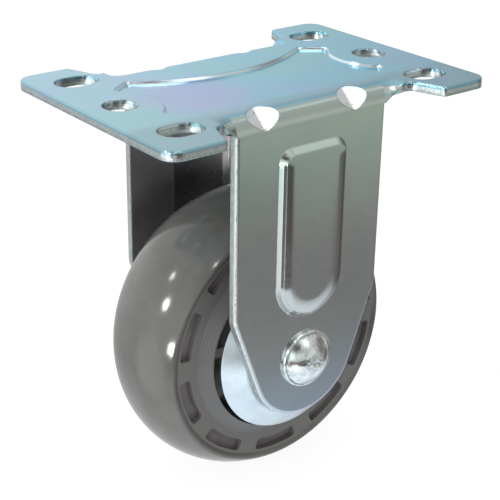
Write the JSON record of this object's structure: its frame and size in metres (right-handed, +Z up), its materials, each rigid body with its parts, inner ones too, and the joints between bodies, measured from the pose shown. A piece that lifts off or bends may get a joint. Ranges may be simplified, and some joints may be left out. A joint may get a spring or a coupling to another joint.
{
  "type": "fixed caster",
  "caption": "Fixed plate caster with a pressed steel fork, a riveted axle and a crowned grey elastomer wheel on ball bearings.",
  "frame": {"origin": "centre of the mounting plate's top face", "axes": "+Z up out of the plate, X along the rolling direction and the plate's long side, Y along the axle"},
  "size_m": [0.092, 0.065, 0.1027],
  "materials": {
    "plated_steel": "bright zinc plate over pressed steel",
    "rivet_steel": "bright zinc plate",
    "bright_steel": "thin plated sheet",
    "bearing_steel": "ground and polished",
    "cage_plastic": "moulded nylon",
    "core_plastic": "moulded, dark brown",
    "tread_rubber": "smooth moulded grey elastomer"
  },
  "bodies": {
    "fork": {"bracket": "plated_steel", "axle": "rivet_steel", "head_washer": "rivet_steel", "tail_washer": "rivet_steel", "guard_front": "bright_steel", "guard_rear": "bright_steel", "spacer_tube": "rivet_steel", "inner_race_front": "bearing_steel", "inner_race_rear": "bearing_steel"},
    "wheel": {"wheel_core": "core_plastic", "tread": "tread_rubber", "outer_race_front": "bearing_steel", "outer_race_rear": "bearing_steel", "outer_shield_front": "bright_steel", "outer_shield_rear": "bright_steel", "inner_shield_front": "bright_steel", "inner_shield_rear": "bright_steel"},
    "front_ball_set": {"balls_front": "bearing_steel", "cage_front": "cage_plastic"},
    "rear_ball_set": {"balls_rear": "bearing_steel", "cage_rear": "cage_plastic"}
  },
  "joints": [
    {"name": "wheel_spin", "type": "hinge", "parent": "fork", "child": "wheel", "pos_m": [0, 0, -0.0652], "axis": [0, 1, 0], "continuous": true},
    {"name": "front_balls_spin", "type": "hinge", "parent": "fork", "child": "front_ball_set", "pos_m": [0, -0.0159, -0.0652], "axis": [0, 1, 0], "continuous": true},
    {"name": "rear_balls_spin", "type": "hinge", "parent": "fork", "child": "rear_ball_set", "pos_m": [0, 0.0159, -0.0652], "axis": [0, 1, 0], "continuous": true}
  ],
  "couplings": [
    {"joint": "front_balls_spin", "follows": "wheel_spin", "ratio": 0.63},
    {"joint": "rear_balls_spin", "follows": "wheel_spin", "ratio": 0.63}
  ]
}
